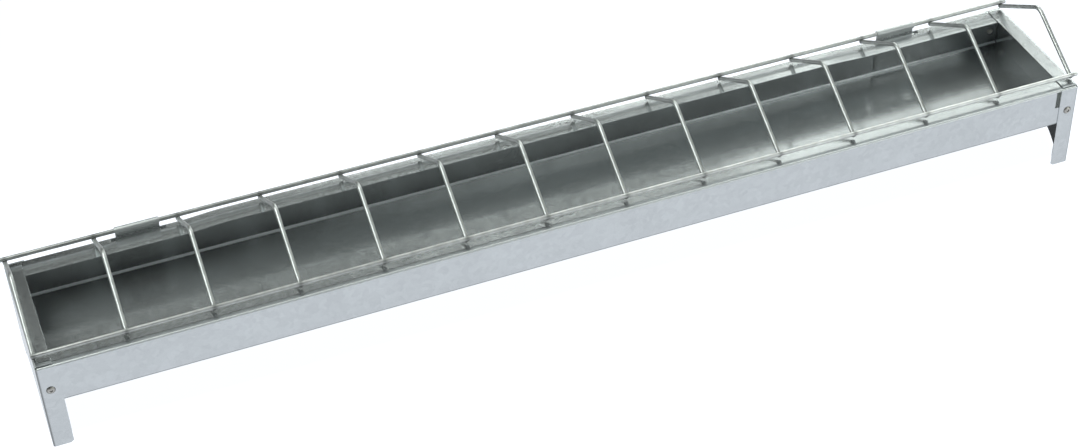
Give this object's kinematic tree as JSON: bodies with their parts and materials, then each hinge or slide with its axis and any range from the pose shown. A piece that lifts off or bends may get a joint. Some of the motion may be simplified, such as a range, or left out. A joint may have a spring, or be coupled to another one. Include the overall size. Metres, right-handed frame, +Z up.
{
  "type": "feed trough",
  "caption": "Long low trough of folded galvanised sheet on end-plate legs, with a hinged ridge-shaped wire grid that parts feeding birds and lifts for filling.",
  "frame": {"origin": "middle of the footprint, on the floor under the feet", "axes": "+X along the trough to its right end, +Y towards the hinge side (the rear), +Z up"},
  "size_m": [1.0074, 0.1486, 0.133],
  "materials": {
    "galvanised_sheet": "bright hot-dip zinc with a faint spangle",
    "galvanised_strap": "zinc plated",
    "galvanised_wire": "zinc plated",
    "rivet_metal": "plain"
  },
  "bodies": {
    "base": {"trough_channel": "galvanised_sheet", "left_end_plate": "galvanised_sheet", "right_end_plate": "galvanised_sheet", "end_plate_rivets": "rivet_metal", "left_hinge_strap": "galvanised_strap", "right_hinge_strap": "galvanised_strap"},
    "grid": {"rear_rail": "galvanised_wire", "front_rail": "galvanised_wire", "cross_wire_01": "galvanised_wire", "cross_wire_02": "galvanised_wire", "cross_wire_03": "galvanised_wire", "cross_wire_04": "galvanised_wire", "cross_wire_05": "galvanised_wire", "cross_wire_06": "galvanised_wire", "cross_wire_07": "galvanised_wire", "cross_wire_08": "galvanised_wire", "cross_wire_09": "galvanised_wire", "cross_wire_10": "galvanised_wire", "cross_wire_11": "galvanised_wire", "cross_wire_12": "galvanised_wire", "cross_wire_13": "galvanised_wire", "cross_wire_14": "galvanised_wire"}
  },
  "joints": [
    {"name": "grid_hinge", "type": "hinge", "parent": "base", "child": "grid", "pos_m": [0, 0.0707, 0.098], "axis": [-1, 0, 0], "range_deg": [0, 220]}
  ]
}
